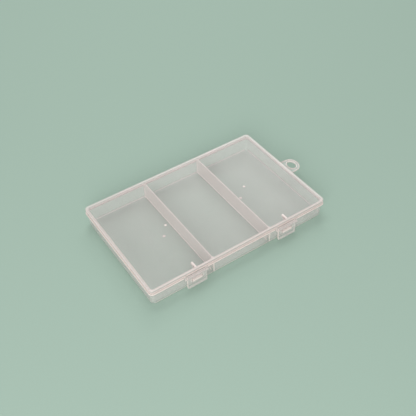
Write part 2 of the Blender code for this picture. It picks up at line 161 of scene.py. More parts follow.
def rounded_rings(levels: Array, corner_steps: int, side_steps: int, stops: Sequence[float] = ()) -> Array:
    """Rings of rounded rectangles.

    Formula: at corner k and angle a the point is the corner circle's centre plus its radius times
    (cos a, sin a), and each side is divided evenly, and also at the stops on the two long sides, from
    one corner's last point to the next one's first.

    Args:
        levels: Array (ring, 4) of half length, half width, corner radius and height.
        corner_steps: Divisions of each quarter circle.
        side_steps: Divisions of each straight side.
        stops: More divisions of the long sides, as shares from -1 at the left to 1 at the right.

    Returns:
        Array (ring, point, 3), anticlockwise seen from above.
    """
    half_x, half_y, corner, height = (column[:, None, None] for column in levels.T)
    angle = np.arange(4)[:, None] * QUARTER + np.linspace(0, QUARTER, corner_steps + 1)[None, :]
    sign_x = np.array([1, -1, -1, 1])[None, :, None]
    sign_y = np.array([1, 1, -1, -1])[None, :, None]
    corners = np.stack([(half_x - corner) * sign_x + corner * np.cos(angle)[None],
                        (half_y - corner) * sign_y + corner * np.sin(angle)[None]], -1)
    even = np.arange(1, side_steps) / side_steps
    leftward = np.sort(np.concatenate([even, (1 - np.asarray(stops, float)) / 2]))
    parts = []
    for index, share in enumerate((leftward, even, 1 - leftward[::-1], even)):
        start, end = corners[:, index, -1:], corners[:, (index + 1) % 4, :1]
        parts += [corners[:, index], start * (1 - share[:, None]) + end * share[:, None]]
    flat = np.concatenate(parts, axis=1)
    heights = np.broadcast_to(height[:, :, 0, None], flat.shape[:2] + (1,))
    return np.concatenate([flat, heights], axis=2)


def stations(half_x: float, half_y: float, corner: float, profile: Array) -> Array:
    """Levels of a rounded rectangle drawn in by a profile of (inset, height).

    Formula: half sizes and corner radius all shrink by the inset, so the rings stay parallel.
    """
    inset = profile[:, 0]
    return np.stack([half_x - inset, half_y - inset, corner - inset, profile[:, 1]], -1)


def panel(level: Array, shares: Sequence[float]) -> Array:
    """Levels of a flat face inside a ring: its half sizes and corner radius times each share."""
    scaled = level[None, :3] * np.asarray(shares)[:, None]
    return np.column_stack([scaled, np.full(len(shares), level[3])])


def bend(inset: float, height: float, radius: float, start: float, end: float, steps: int) -> Array:
    """Bend of a profile of (inset, height).

    Formula: the bend's centre plus its radius times (-cos a, sin a), because inset runs inward.
    """
    angle = np.linspace(start, end, steps + 1)
    return np.stack([inset - radius * np.cos(angle), height + radius * np.sin(angle)], -1)


def arc(centre: Pair, radius: float, start: float, end: float) -> Array:
    """Points of a circle between two angles in degrees, about one for each 6 degrees.

    Formula: the centre plus the radius times (cos a, sin a). The first and last steps are three times as
    long, so that a sharp corner there can be drawn in without crossing its neighbour.
    """
    turn = np.radians(np.linspace(start, end, round(abs(end - start) / 6) + 1))
    turn = np.concatenate([turn[:1], turn[3:-3], turn[-1:]])
    return np.stack([centre[0] + radius * np.cos(turn), centre[1] + radius * np.sin(turn)], -1)


def softened(outline: Array, radius: float) -> Array:
    """A closed outline with its corners rounded.

    Formula: each corner becomes four points of the quadratic curve from a point before it to a point
    after it, both at the radius along the edges and never past 0.4 of an edge.

    Args:
        outline: Array (point, 2).
        radius: Distance of the curve's ends from the corner.

    Returns:
        Array (point, 2) with four points for each corner.
    """
    before = np.roll(outline, 1, axis=0) - outline
    after = np.roll(outline, -1, axis=0) - outline
    start = outline + before * np.minimum(radius / np.linalg.norm(before, axis=1), 0.4)[:, None]
    end = outline + after * np.minimum(radius / np.linalg.norm(after, axis=1), 0.4)[:, None]
    t = np.linspace(0, 1, 4)[None, :, None]
    curve = start[:, None] * (1 - t) ** 2 + outline[:, None] * 2 * t * (1 - t) + end[:, None] * t ** 2
    return curve.reshape(-1, 2)


def drawn_in(outline: Array, insets: Array) -> Array:
    """A closed anticlockwise outline drawn in by several insets.

    Formula: a point moves by the inset times the sum of its two edge normals over one plus their dot
    product.

    Args:
        outline: Array (point, 2).
        insets: Distances inward, one for each copy.

    Returns:
        Array (inset, point, 2).
    """
    edge = np.roll(outline, -1, axis=0) - outline
    edge = edge / np.linalg.norm(edge, axis=1)[:, None]
    normal = np.stack([-edge[:, 1], edge[:, 0]], -1)
    before = np.roll(normal, 1, axis=0)
    inward = (normal + before) / (1 + (normal * before).sum(1))[:, None]
    return outline[None] + inward[None] * insets[:, None, None]


def swept(outline: Array, half_width: float, edge: float, inner: Sequence[float] = (),
          soft: float = 0) -> Skin:
    """A section carried along a straight line, with its end edges rounded.

    Formula: towards each end the section is drawn in by edge * (1 - sin a) and stands at the half width
    less edge * (1 - cos a), for a from 0 to a quarter turn, and the ends are flat faces.

    Args:
        outline: Array (point, 2) of (out, height), anticlockwise.
        half_width: Half the length along the line.
        edge: Radius of the end edges.
        inner: Distances from the ends of extra sections, to hold a value near the edge.
        soft: Radius of the outline's own corners, or 0 to leave them.

    Returns:
        Skin whose points are (out, height, along).
    """
    turn = np.linspace(0, QUARTER, 4)
    drawn = drawn_in(outline, np.concatenate([edge * (1 - np.sin(turn)), np.zeros(len(inner))]))
    if soft:
        drawn = np.stack([softened(section, soft) for section in drawn])
    offsets = np.concatenate([edge * (1 - np.cos(turn)), np.asarray(inner, float)])
    along = np.broadcast_to((half_width - offsets)[:, None, None], drawn.shape[:2] + (1,))
    low = np.concatenate([drawn, -along], axis=2)
    high = np.concatenate([drawn, along], axis=2)[::-1]
    return ring_skin(np.concatenate([low, high]), poles=False)


def turned(profile: Array, centre: Pair, around: int = 32) -> Skin:
    """A profile of (radius, height) turned about an upright axis.

    Formula: the centre plus the radius times (cos a, sin a), at the profile's height.

    Args:
        profile: Array (ring, 2), which starts below and ends above.
        centre: Place of the axis in X and Y.
        around: Points of each ring.

    Returns:
        The surface, closed at both ends.
    """
    angle = np.arange(around) / around * FULL
    radius, height = profile[:, 0, None], profile[:, 1, None]
    return ring_skin(np.stack([centre[0] + radius * np.cos(angle), centre[1] + radius * np.sin(angle),
                               np.broadcast_to(height, (len(profile), around))], -1))


def rounded_distance(points: Array, half_x: float, half_y: float, corner: float) -> Array:
    """Distance inward from a rounded rectangle in plan: the usual signed distance, with its sign turned."""
    reach = np.abs(points[:, :2]) - np.array([half_x - corner, half_y - corner])
    return corner - np.linalg.norm(np.maximum(reach, 0), axis=1) - np.minimum(reach.max(axis=1), 0)


def ramp(value: Array, low: float, high: float) -> Array:
    """Smooth step from 0 at low to 1 at high; low may be the larger one."""
    share = np.clip((value - low) / (high - low), 0, 1)
    return share * share * (3 - 2 * share)


def fade(value: Array, low: float, high: float) -> Array:
    """The smooth step with its two ends given in millimetres."""
    return ramp(value, low * MM, high * MM)


# Blender objects


def make_object(name: str, skin: Skin) -> Object:
    """A mesh object at the origin, unturned and unscaled.

    Args:
        name: Name of the object and of its mesh.
        skin: Points and faces, in the frame's metres.

    Returns:
        The object, linked to the scene.
    """
    mesh = bpy.data.meshes.new(name)
    faces = skin.quads.tolist() + skin.tris.tolist() + [cap.tolist() for cap in skin.caps]
    mesh.from_pydata(skin.points.tolist(), [], faces)
    mesh.update()
    item = bpy.data.objects.new(name, mesh)
    bpy.context.scene.collection.objects.link(item)
    return item


def shaped(name: str, body: Skin, changes: Sequence[tuple[Cut, Skin]]) -> Object:
    """A body with other solids joined or cut away, as one clean mesh.

    Args:
        name: Name of the finished object.
        body: The skin that the work starts from.
        changes: Each change in turn, as how and with what.

    Returns:
        The finished object; the solids used on the way are removed.
    """
    item = make_object(name, body)
    tools = [make_object(f"{name}_tool_{index}", skin) for index, (_, skin) in enumerate(changes)]
    for (how, _), tool in zip(changes, tools):
        change = item.modifiers.new(tool.name, "BOOLEAN")
        change.operation = how.value
        change.solver = "EXACT"
        change.object = tool
    bpy.context.view_layer.update()
    made = bpy.data.meshes.new_from_object(item.evaluated_get(bpy.context.evaluated_depsgraph_get()))
    used = [item.data] + [tool.data for tool in tools]
    item.modifiers.clear()
    item.data = made
    for tool in tools:
        bpy.data.objects.remove(tool)
    for mesh in used:
        bpy.data.meshes.remove(mesh)
    made.name = name
    merge = bmesh.new()
    merge.from_mesh(made)
    bmesh.ops.remove_doubles(merge, verts=merge.verts, dist=0.001 * MM)
    merge.to_mesh(made)
    merge.free()
    return item


def read(items: bpy.types.bpy_prop_collection, name: str, width: int = 1) -> Array:
    """One property of every item of a mesh, as rows of that width."""
    values = np.zeros(len(items) * width, np.float32 if width > 1 else np.int32)
    items.foreach_get(name, values)
    return values.reshape(-1, width).astype(float) if width > 1 else values


def corners_of(item: Object) -> tuple[Array, Array]:
    """Where each face corner lies, drawn a hair into its own face, and which way the face looks.

    Formula: the corner's point plus 0.01 mm along the line to the middle of its face, so that two faces
    that meet at a sharp edge can take different values there.

    Args:
        item: The object whose mesh is read.

    Returns:
        Two arrays (corner, 3): the places and the face normals.
    """
    mesh = item.data
    sides = read(mesh.polygons, "loop_total")
    points = read(mesh.vertices, "co", 3)[read(mesh.loops, "vertex_index")]
    toward = np.repeat(read(mesh.polygons, "center", 3), sides, axis=0) - points
    length = np.maximum(np.linalg.norm(toward, axis=1), 1e-9)[:, None]
    places = points + toward / length * np.minimum(length / 2, HAIR)
    return places, np.repeat(read(mesh.polygons, "normal", 3), sides, axis=0)


def finish(item: Object, depth: Array, material: Material, body: str) -> None:
    """Shade, dress and hang a finished moulding, and let it stand for its CAD node.

    Args:
        item: The finished object.
        depth: For each face corner, from 0 to 1, how much plastic lies behind the surface, with painted light
            added in places.
        material: The finish.
        body: CAD body and node, which share one name.
    """
    mesh = item.data
    mesh.attributes.new(DEPTH_AND_PAINTED_LIGHT, "FLOAT", "CORNER").data.foreach_set("value", depth.astype(np.float32))
    mesh.shade_smooth()
    mesh.set_sharp_from_angle(angle=SHARP_ANGLE)
    weighted = item.modifiers.new("flat_faces_stay_flat", "WEIGHTED_NORMAL")
    weighted.keep_sharp = True
    weighted.weight = 60
    mesh.materials.clear()
    mesh.materials.append(material)
    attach(item, body)
    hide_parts(body)
    log.info("%s: %d points on body %s", item.name, len(mesh.vertices), body)


# The case


@dataclass(frozen=True)
class CaseSizes:
    """Sizes that more than one moulding follows."""

    half_x: float
    half_y: float
    height: float
    hinge_y: float
    hinge_z: float
    latch_y: float
    latch_z: float
    latch_x: dict[str, float]
    corner: float = 3.5 * MM
    skirt: float = 1.2 * MM
    skirt_bottom: float = 13.9 * MM
    panel: float = 1.2 * MM
    upstand: float = 1.0 * MM
    gap: float = 0.3 * MM
    sunk: float = 0.6 * MM
    end_edge: float = 0.15 * MM
    hinge_x: float = 46.0 * MM
    hinge_bar: float = 0.75 * MM
    hook_length: float = 11.4 * MM
    hinge_out: float = 1.8 * MM
    latch_bar: float = 0.6 * MM
    latch_width: float = 18.5 * MM
    latch_ear: float = 1.2 * MM
    gate_x: float = 40.7 * MM

    @classmethod
    def from_frame(cls) -> "CaseSizes":
        """Read the outline from the lid's box and the axes from the joints."""
        low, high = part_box("lid")
        places = {joint["name"]: joint["pos_m"] for joint in frame["joints"]}
        hinge = places["lid_hinge"]
        latches = {hand: places[f"latch_{hand}_hinge"] for hand in ("left", "right")}
        return cls(
            half_x=(high.x - low.x) / 2,
            half_y=hinge[1] - cls.hinge_out,
            height=high.z,
            hinge_y=hinge[1],
            hinge_z=hinge[2],
            latch_y=latches["left"][1],
            latch_z=latches["left"][2],
            latch_x={hand: place[0] for hand, place in latches.items()},
        )

    @property
    def under(self) -> float:
        """Height of the panel's underside."""
        return self.height - self.panel

    @property
    def rim_inner(self) -> float:
        """Distance of the compartments' walls in from the lid's outer face."""
        return self.skirt + self.gap + self.upstand

    @property
    def hinge(self) -> Pair:
        """Hinge axis in a section of the back."""
        return self.hinge_out, self.hinge_z

    @property
    def latch(self) -> Pair:
        """Latch axis in a section of the front."""
        return -self.latch_y - self.half_y, self.latch_z

    def inside(self, points: Array) -> Array:
        """Distance of points inward from the lid's outline, in plan."""
        return rounded_distance(points, self.half_x, self.half_y, self.corner)

    def painted_far_light(self, points: Array) -> Array:
        """Painted light: 1 along the back and the ring's end, whose rims are painted brighter as if lit from
        behind, and 0 along the other two.
        """
        back = ramp(points[:, 1], self.half_y - 6.0 * MM, self.half_y - 3.0 * MM)
        end = ramp(points[:, 0], self.half_x - 6.0 * MM, self.half_x - 3.0 * MM)
        return np.maximum(back, end)

    def seat(self, side: Side, x: float) -> Mover:
        """Make the function that places a section on a long side of the case.

        Args:
            side: Front or back.
            x: Middle of the section's line.

        Returns:
            Function from points (out, height, along) to points of the frame.
        """

        def place(points: Array) -> Array:
            """Points of the frame: along runs from x and out from the half width, with the side's sign."""
            out, height, along = points.T
            return np.stack([x + side.value * along, side.value * (self.half_y + out), height], -1)

        return place

    def hinge_bits(self, section: Array, half: float, offset: float, bar: float) -> list[Skin]:
        """A section at both ends of each hinge's bar, or at its middle where the offset is 0."""
        ends = (-1, 1) if offset else (0,)
        return [swept(section, half, bar).moved(self.seat(Side.BACK, x + end * offset))
                for x in (-self.hinge_x, self.hinge_x) for end in ends]


@dataclass(frozen=True)
class Milk:
    """How milky the plastic looks at each kind of place, from 0 to 1. The far band and the clip add painted
    highlights, and the latch's right edge stays lower than its left one as painted shade.
    """

    lid_edge: float = 0.55
    # Painted light: makes the rims at the back and the ring's end brighter, as if lit from behind.
    far_band_painted_light: float = 0.55
    fitting: float = 0.15
    fitting_foot: float = 0.4
    lid_gate: float = 0.8
    rim: float = 0.85
    foot: float = 0.7
    side: float = 0.14
    cross_wall: float = 0.62
    lug: float = 0.95
    hinge: float = 0.5
    ring: Pair = (0.05, 0.8)
    latch: Pair = (0.1, 0.8)
    # Painted shade: the latch's right edge is less milky than its left one, which takes the light.
    latch_right_edge_painted_shade: float = 0.45
    # Painted highlight along the top of the latch's clip, where the light falls.
    latch_foot: float = 0.5
    clip: float = 0.95
    window: float = 0.6


@dataclass
class GateMark:
    """Dimple with the broken-off nub of the injection gate in it."""

    dimple: float = 1.8 * MM
    dimple_depth: float = 0.25 * MM
    nub: float = 0.75 * MM
    nub_sunk: float = 0.04 * MM
    taper: float = 0.55
    reach: float = 2.0 * MM

    def skin(self, x: float, y: float, face: float, up: int) -> Skin:
        """Shallow dish below a face with a stub left standing in it, as a solid to cut away.

        Formula: the stub's radius falls as the square of its height, and outside it the dish's radius
        follows the sine and its depth the cosine of the same angle.

        Args:
            x: Place of the mark along X.
            y: Place of the mark along Y.
            face: Height of the face that it is sunk in.
            up: 1 for a face that looks up, -1 for one that looks down.

        Returns:
            The turned surface.
        """
        angle = np.linspace(math.asin(self.nub / self.dimple), QUARTER, 7)
        dish = np.stack([self.dimple * np.sin(angle), self.dimple_depth * np.cos(angle)], -1)
        rise = np.linspace(1, 0, 6)[:-1]
        stub = np.stack([self.nub * (1 - self.taper * rise ** 2),
                         dish[0, 1] + (self.nub_sunk - dish[0, 1]) * rise], -1)
        profile = np.vstack([stub, dish, [[self.dimple, -self.reach]]])
        profile[:, 1] = face - up * profile[:, 1]
        return turned(profile if up > 0 else profile[::-1], (x, y))


@dataclass
class Moulding:
    """One moulding: a form, the changes made to it, and where its plastic looks milky."""

    case: CaseSizes
    milk: ClassVar[Milk] = Milk()
    gate: ClassVar[GateMark] = GateMark()

    def form(self) -> Skin:
        """Closed surface that the work starts from."""
        raise NotImplementedError

    def changes(self) -> list[tuple[Cut, Skin]]:
        """Solids that are joined to the form or cut away from it, in turn."""
        raise NotImplementedError

    def depth(self, points: Array, normals: Array) -> Array:
        """How milky the plastic looks at each face corner, with painted light added on some mouldings.

        Args:
            points: Array (corner, 3) of places, each a hair inside its own face.
            normals: Array (corner, 3) of the faces' normals.

        Returns:
            Array (corner,) from 0 for clear to 1 for milky.
        """
        raise NotImplementedError

    def build(self, body: str, material: Material) -> Object:
        """Make the moulding, dress it and hang it on the CAD body of that name."""
        item = shaped(f"{body}_moulding", self.form(), self.changes())
        finish(item, self.depth(*corners_of(item)), material, body)
        return item


@dataclass
class Lid(Moulding):
    """Shallow cap with hinge hooks behind, latch ears, bars and locating fins in front."""

    top_edge: float = 1.0 * MM
    foot_edge: float = 0.22 * MM
    inner_edge: float = 0.6 * MM
    sag: float = 0.16 * MM
    hook_thick: float = 0.9 * MM
    hook_web_top: float = 15.3 * MM
    hook_web_out: float = 0.4 * MM
    hook_end: float = 205.0
    hook_mouth: float = 75.0
    web_rise: float = 0.15 * MM
    ear: float = 1.2 * MM
    ear_top: float = 15.6 * MM
    ear_top_out: float = 0.3 * MM
    fin_x: Pair = (-45.2 * MM, 46.2 * MM)
    fin_length: float = 4.6 * MM
    fin_depth: float = 3.6 * MM
    fin_foot: float = 0.4 * MM
    fin_thick: float = 1.7 * MM
    gate_y: float = -2.3 * MM

    def swell(self, x: Array, y: Array) -> Array:
        """Share of the panel's sag: (1 - (x/a)^2)(1 - (y/b)^2) for the half sizes a and b."""
        return (1 - (x / self.case.half_x) ** 2) * (1 - (y / self.case.half_y) ** 2)

    def form(self) -> Skin:
        """Panel and skirt as one closed wall.

        Formula: a profile of (inset, height) that runs from the panel's underside down the skirt's inner
        face, round its foot, up its outer face and over the top edge is carried round the lid's outline.
        The panel then sags in the middle.
        """
        case, edge = self.case, self.foot_edge
        foot = case.skirt_bottom
        low = np.array([case.skirt - edge, foot + edge])
        skirt = np.array([[case.skirt, foot + 2.0 * MM], [case.skirt, foot + 0.6 * MM]])
        wall = np.vstack([
            bend(case.skirt + self.inner_edge, case.under - self.inner_edge, self.inner_edge, QUARTER, 0, 5),
            skirt,
            2 * low - bend(*low, edge, 0, QUARTER, 3),
            bend(edge, foot + edge, edge, -QUARTER, 0, 3),
            skirt[::-1] * [0, 1],
            bend(self.top_edge, case.height - self.top_edge, self.top_edge, 0, QUARTER, 8),
        ])
        rings = stations(case.half_x, case.half_y, case.corner, wall)
        shares = [0.02, 0.08, 0.16, 0.26, 0.36, 0.46, 0.56, 0.66, 0.76, 0.85, 0.92, 0.96, 0.975, 0.985,
                  0.9935, 0.998]
        levels = np.vstack([panel(rings[0], shares), rings, panel(rings[-1], shares)[::-1]])
        grid = rounded_rings(levels, corner_steps=12, side_steps=26)
        grid[..., 2] -= self.sag * np.clip(self.swell(grid[..., 0], grid[..., 1]), 0, 1)
        return ring_skin(grid)

    def hook_outline(self) -> Array:
        """C-shaped hook round a hinge bar, with the web to the skirt."""
        case = self.case
        inner = case.hinge_bar + case.gap
        outer = inner + self.hook_thick
        web = case.skirt_bottom + self.web_rise
        web_angle = 180 - math.degrees(math.asin((web - case.hinge_z) / outer))
        return np.vstack([
            arc(case.hinge, outer, -self.hook_mouth, self.hook_mouth),
            [[self.hook_web_out, self.hook_web_top], [-case.sunk, self.hook_web_top], [-case.sunk, web]],
            arc(case.hinge, outer, web_angle, self.hook_end),
            arc(case.hinge, inner, self.hook_end, -self.hook_mouth),
        ])

    def ear_outline(self) -> Array:
        """Ear that hangs from the skirt and carries an end of a latch bar."""
        root = -self.case.sunk
        return np.vstack([
            arc(self.case.latch, self.ear, 170, 420),
            [[self.ear_top_out, self.ear_top], [root, self.ear_top],
             [root, self.case.skirt_bottom + self.web_rise]],
        ])

    def fin_outline(self) -> Array:
        """Locating fin: a triangle under the panel whose point stands just inside the tray's rim."""
        outer, under = -self.case.rim_inner - self.case.gap, self.case.under
        end, top = outer - self.fin_length, under + self.case.sunk
        return np.array([[outer, top], [end, top], [end, under - 0.2 * MM],
                         [outer - self.fin_foot, under - self.fin_depth], [outer, under - self.fin_depth]])

    def changes(self) -> list[tuple[Cut, Skin]]:
        """Hooks, ears and fins, then the bars, which cross the ears, and the gate marks."""
        case = self.case
        solids = case.hinge_bits(self.hook_outline(), case.hook_length / 2, 0, case.end_edge)
        bars = []
        offset = case.latch_width / 2 + case.gap + case.latch_ear / 2
        for x in case.latch_x.values():
            for end in (-1, 1):
                ear = swept(self.ear_outline(), case.latch_ear / 2, case.end_edge)
                solids.append(ear.moved(case.seat(Side.FRONT, x + end * offset)))
            bar = swept(arc(case.latch, case.latch_bar, 0, 354), offset, 2 * HAIR)
            bars.append(bar.moved(case.seat(Side.FRONT, x)))
        for x in self.fin_x:
            fin = swept(self.fin_outline(), self.fin_thick / 2, 0.12 * MM, soft=0.15 * MM)
            solids.append(fin.moved(case.seat(Side.FRONT, x)))
        gates = [self.gate.skin(x, self.gate_y, case.height - self.sag * self.swell(x, self.gate_y), 1)
                 for x in (-case.gate_x, case.gate_x)]
        return [(Cut.WITH, stacked(solids)), (Cut.WITH, stacked(bars)), (Cut.AWAY, stacked(gates))]

    def depth(self, points: Array, normals: Array) -> Array:
        """Milky along the panel's edge, the skirt's foot, the ears, fins and gates, with painted light along
        the far rims.
        """
        case, milk = self.case, self.milk
        inside, (x, y, height) = case.inside(points), points.T
        edge = milk.lid_edge * fade(inside, 0.9, 0.4) * fade(height, 17.1, 17.6)
        # Painted light: a brighter band along the top of the rims at the back and the ring's end.
        far_rims_painted_light = milk.far_band_painted_light * case.painted_far_light(points) * fade(inside, 3.0, 2.3) * (height > 17.6 * MM)
        foot = fade(height - case.skirt_bottom, 0.5, 0.2) * (inside < case.skirt + HAIR)
        low = fade(height - case.latch_z, 1.2, 0.6)
        depth = np.where(inside < -0.1 * MM, milk.fitting + milk.fitting_foot * low,
                         np.maximum.reduce([edge, far_rims_painted_light, foot]))
        slack = 0.003 * MM
        within = inside - case.rim_inner - case.gap
        fins = (within > -slack) & (within < self.fin_length + slack) & (height < 17.05 * MM) & (y < 0)
        fins &= (np.abs(normals[:, 2]) < 0.9) | (height < 16.5 * MM)
        for fin_x in self.fin_x:
            depth = np.where(fins & (np.abs(x - fin_x) < self.fin_thick / 2 + slack), 1.0, depth)
        for gate_x in (-case.gate_x, case.gate_x):
            near = np.hypot(x - gate_x, y - self.gate_y)
            depth = np.maximum(depth, milk.lid_gate * fade(near, 1.5, 0.8) * (height > 17.5 * MM))
        return depth

    def ribs(self) -> tuple[tuple[float, float, float, float], ...]:
        """Where the fins stand behind the panel: middle X and Y, half X and half Y of each."""
        near, far = self.case.skirt, self.case.rim_inner + self.case.gap + self.fin_length
        middle_y = (near + far) / 2 - self.case.half_y
        return tuple((x, middle_y, self.fin_thick / 2, (far - near) / 2) for x in self.fin_x)


@dataclass
class Tray(Moulding):
    """Drafted box with two cross walls, rim flange, upstand, hanging ring, hinge bars and catch lugs."""

    corner: float = 3.8 * MM
    foot_inset: float = 1.4 * MM
    wall_inset: float = 1.0 * MM
    foot_edge: float = 0.8 * MM
    floor: float = 1.2 * MM
    flange_proud: float = 0.4 * MM
    flange_thick: float = 1.0 * MM
    flange_edge: float = 0.35 * MM
    rim_gap: float = 0.4 * MM
    rim_edge: float = 0.2 * MM
    divider_x: Pair = (-28.2 * MM, 28.6 * MM)
    divider_thick: float = 1.2 * MM
    divider_drop: float = 0.3 * MM
    pocket_draft: float = 0.2 * MM
    pocket_corner: float = 1.6 * MM
    pocket_foot: float = 0.8 * MM
    pocket_lip: float = 0.22 * MM
    over_rim: float = 1.0 * MM
    ring_out: float = 9.3 * MM
    ring_half: Pair = (6.9 * MM, 8.4 * MM)
    hole_half: Pair = (3.7 * MM, 5.0 * MM)
    flare_half: float = 9.3 * MM
    ring_thick: float = 1.3 * MM
    ring_edge: float = 0.4 * MM
    hinge_ear: float = 1.0 * MM
    hinge_ear_thick: float = 1.5 * MM
    notch_gap: float = 0.4 * MM
    notch_out: float = 3.0 * MM
    lug_width: float = 9.2 * MM
    lug_bottom: float = 8.0 * MM
    lug_top_wall: float = 10.4 * MM
    lug_top_tip: float = 9.8 * MM
    lug_tip_out: float = 3.0 * MM
    lug_nose: float = 0.15 * MM
    lug_chamfer: float = 0.3 * MM
    plate_outer: float = 2.4 * MM
    gate_y: float = 2.5 * MM

    @property
    def flange_top(self) -> float:
        """Height of the flange's upper face."""
        return self.case.skirt_bottom - self.case.gap

    @property
    def rim_top(self) -> float:
        """Height of the upstand's top."""
        return self.case.under - self.rim_gap

    @property
    def ring_x(self) -> float:
        """X of the middle of the ring's hole."""
        return self.case.half_x + self.ring_out

    def form(self) -> Skin:
        """Outer form of the tray, solid inside.

        Formula: rounded rectangles whose half sizes, corner radius and height follow the foot, the
        drafted wall, the flange with its rounded edge and the upstand, closed flat at foot and rim.
        """
        case, edge, lip = self.case, self.flange_edge, self.rim_edge
        low_wall, inset = self.flange_top - self.flange_thick, case.skirt + case.gap
        lower = np.vstack([
            bend(self.foot_inset + self.foot_edge, self.foot_edge, self.foot_edge, -QUARTER, 0, 6),
            [[self.foot_inset - 0.05 * MM, 2.0 * MM], [self.wall_inset + 0.02 * MM, low_wall]],
        ])
        upper = np.vstack([
            bend(edge - self.flange_proud, low_wall + edge, edge, -QUARTER, 0, 4),
            bend(edge - self.flange_proud, self.flange_top - edge, edge, 0, QUARTER, 4),
            [[inset - lip, self.flange_top], [inset, self.flange_top + lip]],
            bend(inset + lip, self.rim_top - lip, lip, 0, QUARTER, 3),
        ])
        walls = stations(case.half_x, case.half_y, 0, lower)
        walls[:, 2] = self.corner - np.maximum(lower[:, 0] - self.foot_inset, 0)
        upper = stations(case.half_x, case.half_y, case.corner, upper)
        levels = np.vstack([panel(walls[0], [0.02, 0.3, 0.6, 0.9, 0.985]), walls, upper,
                            panel(upper[-1], [0.9, 0.5, 0.02])])
        straight = case.half_x - self.corner - (self.foot_inset + self.wall_inset) / 2
        offsets = np.array([-0.5, -0.25, 0.25, 0.5]) * self.divider_thick
        stops = (np.array(self.divider_x)[:, None] + offsets).ravel() / straight
        return ring_skin(rounded_rings(levels, corner_steps=12, side_steps=10, stops=stops))

    def pocket(self, start: float, end: float, drops: Sequence[int]) -> Skin:
        """Space of one compartment, to cut away.

        Formula: rounded rectangles from the floor's fillet up the drafted walls to a lip that flares by a
        quarter round at the top. On a cross wall's side the lip stands lower by the cross wall's drop.

        Args:
            start: Where the compartment starts along X.
            end: Where it ends.
            drops: Signs of X on which a cross wall stands.

        Returns:
            The space as a closed surface that reaches past the rim.
        """
        draft, lip = self.pocket_draft, self.pocket_lip
        half_x, half_y = (end - start) / 2, self.case.half_y - self.case.rim_inner
        lip_base = self.rim_top - lip
        heights = np.array([3.0, 6.0, 11.0, 15.2]) * MM
        angle = np.linspace(0, 1.25, 5)
        flare = np.stack([-lip * (1 - np.cos(angle)), lip_base + lip * np.sin(angle)], -1)
        profile = np.vstack([
            bend(draft + self.pocket_foot, self.floor + self.pocket_foot, self.pocket_foot, -QUARTER, 0, 6),
            np.stack([draft * (1 - heights / lip_base), heights], -1),
            flare,
            [[flare[-1, 0], self.rim_top + self.over_rim]],
        ])
        rings = stations(half_x, half_y, self.pocket_corner + draft, profile)
        rings[:, 2] = np.maximum(rings[:, 2], 0.8 * MM)
        levels = np.vstack([panel(rings[0], [0.02, 0.3, 0.6, 0.85, 0.96]), rings,
                            panel(rings[-1], [0.5, 0.02])])
        grid = rounded_rings(levels, corner_steps=8, side_steps=12)
        lowered = np.zeros(grid.shape[:2])
        for sign in drops:
            toward = (sign * grid[..., 0] - (half_x - self.pocket_corner)) / self.pocket_corner
            lowered = np.maximum(lowered, ramp(toward, 0.0, 0.9))
        grid[..., 2] -= self.divider_drop * lowered * fade(grid[..., 2], 12.0, 16.0)
        grid[..., 0] += (start + end) / 2
        return ring_skin(grid)

    def pockets(self) -> Skin:
        """The three compartments."""
        inner_x, half_wall = self.case.half_x - self.case.rim_inner, self.divider_thick / 2
        left, right = self.divider_x
        return stacked([
            self.pocket(-inner_x, left - half_wall, (1,)),
            self.pocket(left + half_wall, right - half_wall, (-1, 1)),
            self.pocket(right + half_wall, inner_x, (-1,)),
        ])

    def drop(self) -> Skin:
        """Slab that lowers the cross walls' tops below the rim."""
        half_x = self.case.half_x - self.case.rim_inner - self.pocket_corner
        half_y = self.case.half_y - self.case.rim_inner - self.pocket_corner
        heights = (self.rim_top - self.divider_drop, self.rim_top + self.over_rim)
        levels = np.array([[half_x, half_y, 0.5 * MM, height] for height in heights])
        return ring_skin(rounded_rings(levels, corner_steps=2, side_steps=6))

    def hanging_ring(self) -> Skin:
        """Flat ring with round edges.

        Formula: for each angle round the hole the outer and the inner outline give a pair of points, and
        a flat section with quarter-round edges runs from one to the other and back. The surface closes
        on itself both ways.
        """
        steps = 96
        angle = np.arange(steps) / steps * FULL
        ray = np.stack([np.cos(angle), np.sin(angle)], -1)
        centre = np.array([self.ring_x, 0.0])
        hole = np.stack([centre[0] + self.hole_half[0] * ray[:, 0], self.hole_half[1] * ray[:, 1]], -1)
        outer = centre + ray * self.outline_reach(angle)[:, None]
        turn = np.linspace(0, QUARTER, 5)
        up, level = -self.ring_edge * (1 - np.sin(turn)), np.zeros(5)
        above = np.concatenate([up, level, up[::-1]])
        rise = np.concatenate([above, -self.ring_thick - above])
        inset = self.ring_edge * (1 - np.cos(turn)) / np.linalg.norm(outer - hole, axis=1)[:, None]
        middle = np.broadcast_to(np.array([0.15, 0.3, 0.5, 0.7, 0.85]), (steps, 5))
        outward = np.concatenate([inset, middle, 1 - inset[:, ::-1]], axis=1)
        share = np.concatenate([outward, 1 - outward], axis=1)[..., None]
        flat = outer[:, None] * (1 - share) + hole[:, None] * share
        heights = np.broadcast_to(self.flange_top - self.flange_edge + rise, flat.shape[:2])
        grid = np.concatenate([flat, heights[..., None]], axis=2)
        around = grid.shape[1]
        row = np.arange(steps)[:, None] * around
        after, here = np.roll(row, -1, axis=0), np.arange(around)[None]
        beside = np.roll(here, -1, axis=1)
        quads = np.stack([row + here, after + here, after + beside, row + beside], -1)
        return Skin(grid.reshape(-1, 3), quads.reshape(-1, 4))

